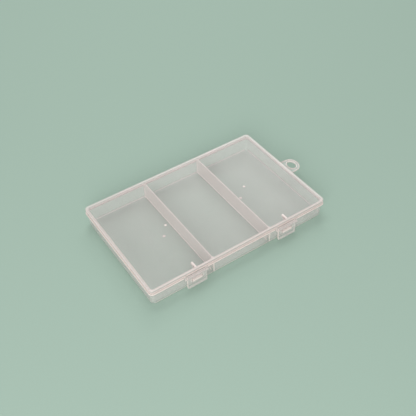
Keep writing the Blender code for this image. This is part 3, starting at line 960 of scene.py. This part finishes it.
    def outline_reach(self, angle: Array) -> Array:
        """How far the ring's outer outline lies from the hole's middle, at each angle.

        Formula: the outline is a half oval whose sides flare in straight lines to the flange. Each ray's
        crossing with each of its edges comes by Cramer's rule, and the nearest one in front counts.

        Args:
            angle: Angles about the hole's middle, in radians.

        Returns:
            One distance for each angle.
        """
        case = self.case
        flange, root = case.half_x + self.flange_proud, case.half_x - case.skirt
        bow = np.radians(np.linspace(-90, 90, 49))
        outline = np.vstack([
            np.stack([self.ring_x + self.ring_half[0] * np.cos(bow), self.ring_half[1] * np.sin(bow)], -1),
            [[flange, self.flare_half], [root, self.flare_half], [root, -self.flare_half],
             [flange, -self.flare_half]],
        ])
        start = outline - np.array([self.ring_x, 0.0])
        edge = np.roll(start, -1, axis=0) - start
        ray_x, ray_y = np.cos(angle)[:, None], np.sin(angle)[:, None]
        cross = ray_x * edge[:, 1] - ray_y * edge[:, 0]
        cross = np.where(np.abs(cross) < 1e-15, 1e-15, cross)
        along = (start[:, 0] * edge[:, 1] - start[:, 1] * edge[:, 0]) / cross
        share = (start[:, 0] * ray_y - start[:, 1] * ray_x) / cross
        hit = (along > 0) & (share >= -1e-9) & (share <= 1 + 1e-9)
        return np.where(hit, along, np.inf).min(axis=1)

    def ring_depth(self, x: Array, y: Array) -> Array:
        """Milkiness of the ring, which is high along its outline and its hole.

        Formula: along the ray from the hole's middle, a smooth step of the distance to the outline or to
        the hole's oval, whichever is nearer.

        Args:
            x: Places along X.
            y: Places along Y.

        Returns:
            One value from 0 to 1 for each place.
        """
        away = np.hypot(x - self.ring_x, y)
        angle = np.arctan2(y, x - self.ring_x)
        hole = 1 / np.hypot(np.cos(angle) / self.hole_half[0], np.sin(angle) / self.hole_half[1])
        least, rise = self.milk.ring
        return least + rise * fade(np.minimum(self.outline_reach(angle) - away, away - hole), 0.85, 0.3)

    def lug_outline(self) -> Array:
        """Catch lug: sloped top, flat underside and a small nose in front of the latch's lower bar."""
        root = -self.foot_inset - self.case.sunk
        tip, chamfer = self.lug_tip_out, self.lug_chamfer
        return np.array([
            [root, self.lug_top_wall], [root, self.lug_bottom], [self.plate_outer, self.lug_bottom],
            [tip, self.lug_bottom - self.lug_nose], [tip, self.lug_top_tip - chamfer],
            [tip - chamfer, self.lug_top_tip],
        ])

    def hinge_ear_outline(self) -> Array:
        """Ear that carries an end of a hinge bar, from inside the wall out round the bar."""
        case, root = self.case, -self.wall_inset - self.case.sunk
        return np.vstack([
            arc(case.hinge, self.hinge_ear, -90, 90),
            [[root, case.hinge_z + self.hinge_ear], [root, case.hinge_z - self.hinge_ear]],
        ])

    def notches(self) -> Skin:
        """Gaps in the flange where the hinge hooks and the latches pass."""
        case = self.case
        hinge_half = case.hook_length / 2 + case.gap + self.hinge_ear_thick + self.notch_gap
        latch_half = case.latch_width / 2 + case.gap + case.latch_ear + self.notch_gap
        low = self.flange_top - self.flange_thick - 0.3 * MM
        high = self.flange_top + 0.15 * MM
        inner, out = self.wall_inset + 0.05 * MM, self.notch_out
        section = np.array([[-inner, low], [out, low], [out, high], [-inner, high]])
        places = [(Side.BACK, x, hinge_half) for x in (-case.hinge_x, case.hinge_x)]
        places += [(Side.FRONT, x, latch_half) for x in case.latch_x.values()]
        return stacked([swept(section, half, 2 * HAIR).moved(case.seat(side, x)) for side, x, half in places])

    def changes(self) -> list[tuple[Cut, Skin]]:
        """Notches, ring, ears and lugs, the hinge bars, the compartments and the gate marks."""
        case = self.case
        offset = case.hook_length / 2 + case.gap + self.hinge_ear_thick / 2
        ears = case.hinge_bits(self.hinge_ear_outline(), self.hinge_ear_thick / 2, offset, case.end_edge)
        bars = case.hinge_bits(arc(case.hinge, case.hinge_bar, 0, 354), offset, 0, 2 * HAIR)
        lug = swept(self.lug_outline(), self.lug_width / 2, 0.22 * MM, inner=(0.6 * MM,), soft=0.2 * MM)
        lugs = [lug.moved(case.seat(Side.FRONT, x)) for x in case.latch_x.values()]
        gates = [self.gate.skin(x, self.gate_y, 0.0, -1) for x in (-case.gate_x, case.gate_x)]
        return [
            (Cut.AWAY, self.notches()),
            (Cut.WITH, stacked([self.hanging_ring(), *ears, *lugs])),
            (Cut.WITH, stacked(bars)),
            (Cut.AWAY, self.drop()),
            (Cut.AWAY, self.pockets()),
            (Cut.AWAY, stacked(gates)),
        ]

    def depth(self, points: Array, normals: Array) -> Array:
        """Milky along flange, rim and foot, in the cross walls and their ends, ring, lugs and gates."""
        case, milk, thick = self.case, self.milk, self.divider_thick
        inside, (x, y, height) = case.inside(points), points.T
        depth = np.maximum.reduce([
            fade(inside, 0.8, 0.1) * fade(height, 12.2, 12.6) * (inside > -0.6 * MM),
            milk.rim * fade(height, 16.2, 16.45),
            milk.foot * fade(inside, 2.3, 1.5) * fade(height, 1.3, 0.5),
            milk.side * fade(inside, 2.4, 1.9),
        ])
        between = np.minimum(np.abs(x - self.divider_x[0]), np.abs(x - self.divider_x[1]))
        wall = (between < 1.35 * thick) & (inside > case.rim_inner) & (height > self.floor + 3 * HAIR)
        tall = milk.cross_wall + (1 - milk.cross_wall) * fade(height, 2.0, 1.5)
        depth = np.where(wall, np.maximum(depth, tall), depth)
        outer_wall = (inside < self.foot_inset + 0.3 * MM) & (height > 0.6 * MM) & (height < self.flange_top)
        outer_wall &= np.abs(y) > case.half_y - 3 * MM
        seen_on_end = ramp(between, 0.5 * thick, 0.25 * thick)
        depth = np.where(outer_wall, np.maximum(depth, seen_on_end), depth)
        beyond = x > case.half_x + 0.8 * MM
        depth[beyond] = self.ring_depth(x[beyond], y[beyond])
        lug = (y < -case.half_y + 0.6 * MM) & (height > 7.5 * MM) & (height < 10.6 * MM)
        depth = np.where(lug, milk.lug, depth)
        depth = np.where(y > case.half_y + 0.6 * MM, milk.hinge, depth)
        for gate_x in (-case.gate_x, case.gate_x):
            near = np.hypot(x - gate_x, y - self.gate_y)
            depth = np.maximum(depth, fade(near, 1.8, 0.9) * (height < 0.7 * MM))
        return depth


@dataclass
class Latch(Moulding):
    """Clip round the lid's bar, a flat plate with a window for the lug and a lip at its foot."""

    hand: str
    clip_thick: float = 0.59 * MM
    mouth: Pair = (140.0, 220.0)
    plate: Pair = (1.2 * MM, 2.4 * MM)
    bottom: float = 1.4 * MM
    lip_out: float = 2.8 * MM
    lip_top: float = 2.2 * MM
    lip_blend: float = 3.4 * MM
    foot_corner: float = 1.6 * MM
    plate_top: float = 11.95 * MM
    window_half: float = 5.1 * MM
    window_low: float = 7.5 * MM
    window_high: float = 10.8 * MM
    window_corner: float = 0.6 * MM
    window_flare: float = 0.25 * MM
    edge: float = 0.22 * MM
    side_step: float = 0.03 * MM
    lit_angle: float = 114.0

    @property
    def x(self) -> float:
        """Middle of the latch along X."""
        return self.case.latch_x[self.hand]

    def clip(self) -> Skin:
        """C-shaped clip round the lid's bar: two arcs, with the mouth between their ends."""
        case, (start, end) = self.case, self.mouth
        inner = case.latch_bar + case.gap
        section = np.vstack([arc(case.latch, inner + self.clip_thick, end - 360, start),
                             arc(case.latch, inner, start, end - 360)])
        return swept(section, case.latch_width / 2, self.edge, inner=(0.6 * MM, 3.0 * MM))

    def form(self) -> Skin:
        """Flat plate with round foot corners, soft edges and the lip.

        Formula: the plate's outline is drawn in by a quarter round at each face and then in parallel
        rings to its middle. On the outer half the foot stands out by the lip, which fades upward as a
        smooth step.
        """
        half, corner = self.case.latch_width / 2 - self.side_step, self.foot_corner
        low, high = self.bottom, self.plate_top
        rises = np.array([1.0, 2.0, 4.5, 6.5]) * MM + low + corner
        across = np.linspace(half - corner, corner - half, 12)[1:-1]
        outline = np.vstack([
            arc((low + corner, corner - half), corner, 180, 270),
            np.column_stack([rises, np.full(4, -half)]),
            [[high, -half], [high, half]],
            np.column_stack([rises[::-1], np.full(4, half)]),
            arc((low + corner, half - corner), corner, 90, 180),
            np.column_stack([np.full(10, low), across]),
        ])
        turn = np.linspace(0, QUARTER, 4)
        middle = np.array([1.2, 0.9, 0.6, 0.4]) * MM + self.edge
        inset = np.concatenate([middle, self.edge * (1 - np.sin(turn))])
        drawn = drawn_in(outline, np.concatenate([inset, inset[4:][::-1], inset[:4][::-1]]))
        near, far = self.plate
        rise = self.edge * (1 - np.cos(turn))
        outs = np.concatenate([np.full(4, near), near + rise, far - rise[::-1], np.full(4, far)])
        lip = (self.lip_out - far) * ramp(drawn[..., 0], self.lip_blend, self.lip_top)
        out = outs[:, None] + lip * ramp(outs, near, far)[:, None]
        skin = ring_skin(np.stack([out, drawn[..., 0], drawn[..., 1]], -1))
        return skin.moved(self.case.seat(Side.FRONT, self.x))

    def window(self) -> Skin:
        """Window for the lug with rounded rims, to cut away.

        Formula: rounded rectangles stacked outward through the plate, which flare by a quarter round at
        both of its faces.
        """
        (low, high), flare = self.plate, self.window_flare
        turn = np.linspace(1.25, 0, 5)
        inner = np.stack([-flare * (1 - np.cos(turn)), low + flare * (1 - np.sin(turn))], -1)
        outer = (inner * [1, -1] + [0, low + high])[::-1]
        widest = inner[0, 0]
        profile = np.vstack([[[widest, low - 0.6 * MM]], inner, outer, [[widest, high + 1.1 * MM]]])
        half_z = (self.window_high - self.window_low) / 2
        middle = (self.window_high + self.window_low) / 2
        rings = rounded_rings(stations(self.window_half, half_z, self.window_corner, profile), 5, 4)
        return ring_skin(rings).moved(lambda points: np.stack(
            [self.x + points[:, 0], -self.case.half_y - points[:, 2], middle + points[:, 1]], -1))

    def changes(self) -> list[tuple[Cut, Skin]]:
        """The clip joined on and the window cut through."""
        return [(Cut.WITH, self.clip().moved(self.case.seat(Side.FRONT, self.x))), (Cut.AWAY, self.window())]

    def depth(self, points: Array, normals: Array) -> Array:
        """Milky along the sides, the foot and the window's rim, with painted light: the left side brighter
        than the right and a painted highlight on the clip's lit top.
        """
        case, milk = self.case, self.milk
        along, height = points[:, 0] - self.x, points[:, 2]
        across = np.abs(along)
        # Painted light: the left side full and the right one lower, as if lit from the left.
        side = np.where(along > 0, milk.latch_right_edge_painted_shade, 1.0)
        side = side * fade(case.latch_width / 2 - across, 0.5, 0.15)
        angle = np.degrees(np.arctan2(height - case.latch_z, case.latch_y - points[:, 1]))
        # Painted highlight on the clip's top, around the lit angle.
        clip = milk.clip * ramp(np.abs(angle - self.lit_angle), 26, 12) * (height > case.latch_z)
        middle = (self.window_low + self.window_high) / 2
        in_window = np.maximum(across / self.window_half,
                               np.abs(height - middle) / (self.window_high - middle))
        least, rise = milk.latch
        return least + rise * np.maximum.reduce([side, milk.latch_foot * fade(height, 2.3, 1.7), clip,
                                                 milk.window * ramp(in_window, 1.12, 1.04)])


# Finishes


@dataclass(frozen=True)
class Wiring:
    """Short hand for the nodes of one shader tree."""

    tree: Tree

    def feed(self, node: Node, **values: Value) -> Node:
        """Give inputs, named with _ for a space, a plain value or another node's output."""
        for name, value in values.items():
            self.put(node.inputs[name.replace("_", " ")], value)
        return node

    def put(self, socket: Socket, value: Value) -> None:
        """Give one input a plain value or another node's output."""
        if isinstance(value, Socket):
            self.tree.links.new(value, socket)
        else:
            socket.default_value = value

    def node(self, kind: str, **values: Value) -> Node:
        """A new node of a kind, with its inputs fed."""
        return self.feed(self.tree.nodes.new(f"ShaderNode{kind}"), **values)

    def math(self, operation: str, *values: Value) -> Socket:
        """Output of a Math node.

        Args:
            operation: Blender's name for what the node does.
            values: Plain values or other outputs, in the order of the node's inputs.

        Returns:
            The node's output.
        """
        node = self.node("Math")
        node.operation = operation
        for socket, value in zip(node.inputs, values):
            self.put(socket, value)
        return node.outputs[0]

    def add(self, first: Value, second: Value) -> Socket:
        """Sum."""
        return self.math("ADD", first, second)

    def less(self, first: Value, second: Value) -> Socket:
        """Difference."""
        return self.math("SUBTRACT", first, second)

    def times(self, first: Value, second: Value) -> Socket:
        """Product."""
        return self.math("MULTIPLY", first, second)

    def most(self, first: Value, second: Value) -> Socket:
        """The larger one."""
        return self.math("MAXIMUM", first, second)

    def least(self, first: Value, second: Value) -> Socket:
        """The smaller one."""
        return self.math("MINIMUM", first, second)

    def size(self, value: Value) -> Socket:
        """The value without its sign."""
        return self.math("ABSOLUTE", value)

    def noise(self, vector: Socket, scale: Value, detail: float) -> Socket:
        """Factor of a Noise texture."""
        return self.node("TexNoise", Vector=vector, Scale=scale, Detail=detail).outputs["Fac"]

    def mix(self, factor: Value, first: Colour, second: Colour) -> Socket:
        """Colour between two colours."""
        node = self.node("Mix")
        node.data_type = "RGBA"
        return self.feed(node, Factor=factor, A=(*first, 1), B=(*second, 1)).outputs["Result"]

    def group(self, content: Tree, vector: Socket, **values: Value) -> Socket:
        """Output of a shared effect, placed with its own values."""
        node = self.node("Group")
        node.node_tree = content
        return self.feed(node, Vector=vector, **values).outputs[0]


def new_group(name: str, output: str, **inputs: float | None) -> tuple[Wiring, dict[str, Socket], Socket]:
    """An empty shader group with named sockets.

    Args:
        name: Name of the group.
        output: Name of its one output, a plain value.
        inputs: Default of each input, or None for a vector; _ stands for a space in its name.

    Returns:
        The group's wiring, its inputs by name and its output.
    """
    tree = bpy.data.node_groups.new(name, "ShaderNodeTree")
    for label, default in inputs.items():
        kind = "NodeSocketVector" if default is None else "NodeSocketFloat"
        socket = tree.interface.new_socket(name=label.replace("_", " "), in_out="INPUT", socket_type=kind)
        if default is not None:
            socket.default_value = default
    tree.interface.new_socket(name=output, in_out="OUTPUT", socket_type="NodeSocketFloat")
    given = tree.nodes.new("NodeGroupInput").outputs
    return Wiring(tree), given, tree.nodes.new("NodeGroupOutput").inputs[output]


def haze_group() -> Tree:
    """Uneven milkiness of moulded plastic: broad clouds drawn out along the flow, and a fine mottle."""
    wire, given, haze = new_group("milky_haze", "Haze", Vector=None, Cloud_Scale=22, Flow_Stretch=0.5,
                                  Mottle_Scale=260)
    stretch = wire.node("CombineXYZ", X=1.0, Y=given["Flow Stretch"], Z=1.0)
    drawn = wire.node("VectorMath")
    drawn.operation = "MULTIPLY"
    wire.put(drawn.inputs[0], given["Vector"])
    wire.put(drawn.inputs[1], stretch.outputs[0])
    cloud = wire.noise(drawn.outputs[0], given["Cloud Scale"], 2.5)
    mottle = wire.noise(given["Vector"], given["Mottle Scale"], 2.0)
    wire.put(haze, wire.add(wire.times(cloud, 0.75), wire.times(mottle, 0.25)))
    return wire.tree


def scratch_group() -> Tree:
    """Fine straight scratches on level faces, as the thin crests of noise stretched three ways."""
    wire, given, scratches = new_group("fine_scratches", "Scratches", Vector=None, Normal=None, Density=0.5)
    upward = wire.node("SeparateXYZ", Vector=given["Normal"]).outputs["Z"]
    level = wire.math("POWER", wire.size(upward), 4.0)
    crests = 0.0
    for turn, length, across in ((0.35, 26.0, 1900.0), (-0.9, 18.0, 1500.0), (1.35, 34.0, 2300.0)):
        place = wire.node("Mapping", Vector=given["Vector"], Rotation=(0.0, 0.0, turn),
                          Scale=(length, across, length))
        away = wire.size(wire.less(wire.noise(place.outputs[0], 1.0, 1.0), 0.5))
        crests = wire.most(crests, wire.less(1.0, wire.times(away, 26.0)))
    place = wire.node("Mapping", Vector=given["Vector"], Location=(0.31, 0.17, 0.0))
    worn = wire.noise(place.outputs[0], 45.0, 2.0)
    patch = wire.less(worn, wire.less(0.75, wire.times(given["Density"], 0.3)))
    shown = wire.times(crests, wire.most(wire.times(patch, 4.0), 0.0))
    wire.put(scratches, wire.times(wire.least(shown, 1.0), level))
    return wire.tree


def grain_group() -> Tree:
    """Height of the moulded surface: faint orange peel and a fine spark-eroded grain."""
    wire, given, height = new_group("moulded_grain", "Height", Vector=None, Peel=0.6, Grain=0.3)
    peel = wire.times(wire.noise(given["Vector"], 170.0, 1.0), given["Peel"])
    grain = wire.times(wire.noise(given["Vector"], 2600.0, 2.0), given["Grain"])
    wire.put(height, wire.add(peel, grain))
    return wire.tree


def rib_group() -> Tree:
    """Milky strip on a panel where a rib stands behind it: 1 inside a rectangle of X and Y, 0 outside."""
    wire, given, rib = new_group("rib_behind", "Rib", Vector=None, Middle_X=0, Middle_Y=0, Half_X=0.001,
                                 Half_Y=0.002)
    split = wire.node("SeparateXYZ", Vector=given["Vector"])
    masks = []
    for axis in ("X", "Y"):
        away = wire.size(wire.less(split.outputs[axis], given[f"Middle {axis}"]))
        soft = wire.less(0.5, wire.times(wire.less(away, given[f"Half {axis}"]), 1 / (0.4 * MM)))
        masks.append(wire.least(wire.most(soft, 0.0), 1.0))
    wire.put(rib, wire.times(*masks))
    return wire.tree


def new_material(name: str) -> tuple[Material, Wiring, Node]:
    """A material with its wiring and its Principled shader."""
    material = bpy.data.materials.new(name)
    material.use_nodes = True
    return material, Wiring(material.node_tree), material.node_tree.nodes["Principled BSDF"]


@dataclass(frozen=True)
class MilkyPlastic:
    """Translucent polypropylene: clear where it is thin, milky and pale at its edges."""

    name: str
    ribs: tuple[tuple[float, float, float, float], ...] = ()
    thin_colour: Colour = (0.82, 0.76, 0.75)
    deep_colour: Colour = (0.85, 0.73, 0.69)
    thin_alpha: float = 0.11
    deep_alpha: float = 0.92
    most_alpha: float = 0.97
    glance_alpha: float = 0.42
    glance_power: float = 2.6
    cloudiness: float = 0.9
    cloud_roughness: float = 0.12
    roughness: float = 0.24
    scratches: float = 0.25
    scratch_alpha: float = 0.05
    scratch_paleness: float = 0.15
    scratch_roughness: float = 0.2
    rib_milk: float = 0.8
    bump: float = 0.15
    bump_distance: float = 0.02 * MM
    index: float = 1.49

    def material(self, groups: dict[str, Tree]) -> Material:
        """Build the finish.

        Args:
            groups: The shared effects by name: haze, scratches, grain and rib.

        Returns:
            A material with one Principled shader, which reads the face corners' plastic depth and painted
            light.
        """
        material, wire, shader = new_material(self.name)
        where = wire.node("TexCoord")
        place = where.outputs["Object"]
        # The stored attribute holds plastic depth together with painted light.
        stored = wire.node("Attribute")
        stored.attribute_name = DEPTH_AND_PAINTED_LIGHT
        depth = stored.outputs["Fac"]
        for middle_x, middle_y, half_x, half_y in self.ribs:
            rib = wire.group(groups["rib"], place, Middle_X=middle_x, Middle_Y=middle_y, Half_X=half_x,
                             Half_Y=half_y)
            depth = wire.most(depth, wire.times(rib, self.rib_milk))
        scratch = wire.group(groups["scratches"], place, Normal=where.outputs["Normal"],
                             Density=self.scratches)
        cloud = wire.less(wire.group(groups["haze"], place), 0.5)
        whiter = wire.least(wire.add(depth, wire.times(scratch, self.scratch_paleness)), 1.0)
        facing = wire.node("LayerWeight", Blend=0.5).outputs["Facing"]
        glance = wire.times(wire.math("POWER", facing, self.glance_power), self.glance_alpha)
        uneven = wire.add(1.0, wire.times(cloud, self.cloudiness))
        clear = wire.add(wire.times(uneven, self.thin_alpha), glance)
        alpha = wire.add(clear, wire.times(depth, self.deep_alpha - self.thin_alpha))
        alpha = wire.add(alpha, wire.times(scratch, self.scratch_alpha))
        rough = wire.add(self.roughness, wire.times(scratch, self.scratch_roughness))
        bump = wire.node("Bump", Strength=self.bump, Distance=self.bump_distance,
                         Height=wire.group(groups["grain"], place))
        wire.feed(shader, Base_Color=wire.mix(whiter, self.thin_colour, self.deep_colour),
                  Alpha=wire.least(alpha, self.most_alpha),
                  Roughness=wire.add(rough, wire.times(cloud, self.cloud_roughness)),
                  Normal=bump.outputs["Normal"], IOR=self.index)
        return material


# Studio


@dataclass(frozen=True)
class Lamp:
    """A soft area lamp that looks at the case."""

    name: str
    place: tuple[float, float, float]
    size: Pair
    power: float

    def build(self) -> None:
        """Hang the lamp."""
        light = bpy.data.lights.new(self.name, "AREA")
        light.shape = "RECTANGLE"
        light.size, light.size_y = self.size
        light.energy = self.power
        item = bpy.data.objects.new(self.name, light)
        bpy.context.scene.collection.objects.link(item)
        item.location = self.place
        item.rotation_euler = (-Vector(self.place)).to_track_quat("-Z", "Y").to_euler()


@dataclass(frozen=True)
class Studio:
    """Pale floor, soft lamps and the camera at the photograph's angle."""

    floor_colour: Colour = (0.352, 0.468, 0.397)
    floor_tone: float = 0.03
    floor_half: float = 6.0
    world_colour: Colour = (0.95, 0.97, 0.96)
    world_strength: float = 0.52
    lamps: tuple[Lamp, ...] = (
        Lamp("key", (0.15, 0.55, 1.35), (0.9, 0.6), 5.6),
        Lamp("sheen", (0.80, 1.00, 1.05), (0.7, 0.5), 4.0),
        Lamp("fill", (-0.75, -0.90, 0.60), (0.9, 0.6), 11.0),
    )
    azimuth: float = -32.529
    elevation: float = 44.581
    roll: float = -2.24
    distance: float = 0.58505
    target: tuple[float, float, float] = (0.009361, 0.009084, 0.0)
    lens: float = 56.525
    sensor: float = 36.0

    def floor(self) -> None:
        """Plain floor just below the case."""
        half = self.floor_half
        corners = np.array([[-half, -half], [half, -half], [half, half], [-half, half]])
        points = np.column_stack([corners, np.full(4, -2 * HAIR)])
        item = make_object("floor", Skin(points, np.array([[0, 1, 2, 3]])))
        material, wire, shader = new_material("floor_paper")
        tone = wire.noise(wire.node("TexCoord").outputs["Object"], 900.0, 3.0)
        dark, light = (tuple(share * value for value in self.floor_colour)
                       for share in (1 - self.floor_tone, 1 + self.floor_tone))
        wire.feed(shader, Base_Color=wire.mix(tone, dark, light), Roughness=0.9, Specular_IOR_Level=0.2)
        item.data.materials.append(material)

    def camera(self) -> None:
        """Camera at the angle, distance and lens that the case's edges give."""
        azimuth, elevation, roll = map(math.radians, (self.azimuth, self.elevation, self.roll))
        back = Vector((math.sin(azimuth) * math.cos(elevation), -math.cos(azimuth) * math.cos(elevation),
                       math.sin(elevation)))
        level = Vector((math.cos(azimuth), math.sin(azimuth), 0))
        upright = back.cross(level)
        right = level * math.cos(roll) + upright * math.sin(roll)
        up = upright * math.cos(roll) - level * math.sin(roll)
        data = bpy.data.cameras.new("camera")
        data.sensor_width = self.sensor
        data.lens = self.lens
        data.clip_start = 0.01
        data.clip_end = 50
        item = bpy.data.objects.new("camera", data)
        bpy.context.scene.collection.objects.link(item)
        matrix = Matrix((right, up, back)).transposed().to_4x4()
        matrix.translation = Vector(self.target) + back * self.distance
        item.matrix_world = matrix
        bpy.context.scene.camera = item

    def world(self) -> None:
        """Even pale surroundings."""
        world = bpy.data.worlds.new("studio")
        world.use_nodes = True
        background = world.node_tree.nodes["Background"]
        Wiring(world.node_tree).feed(background, Color=(*self.world_colour, 1), Strength=self.world_strength)
        bpy.context.scene.world = world

    def build(self) -> None:
        """Set the stage, the lamps, the camera and the view."""
        self.floor()
        self.world()
        for lamp in self.lamps:
            lamp.build()
        self.camera()
        scene = bpy.context.scene
        scene.view_settings.view_transform = "Standard"
        scene.cycles.transparent_max_bounces = 32
        scene.cycles.max_bounces = 16


def main() -> None:
    """Build the case's mouldings in order, then the studio."""
    logging.basicConfig(level=logging.INFO, format="%(name)s: %(message)s")
    case = CaseSizes.from_frame()
    groups = {"haze": haze_group(), "scratches": scratch_group(), "grain": grain_group(), "rib": rib_group()}
    Tray(case).build("tray", MilkyPlastic("tray_milky").material(groups))
    lid = Lid(case)
    lid.build("lid", MilkyPlastic("lid_milky", ribs=lid.ribs()).material(groups))
    latch_finish = MilkyPlastic("latch_milky").material(groups)
    for hand in case.latch_x:
        Latch(case, hand).build(f"latch_{hand}", latch_finish)
    Studio().build()


if __name__ == "__main__":
    main()
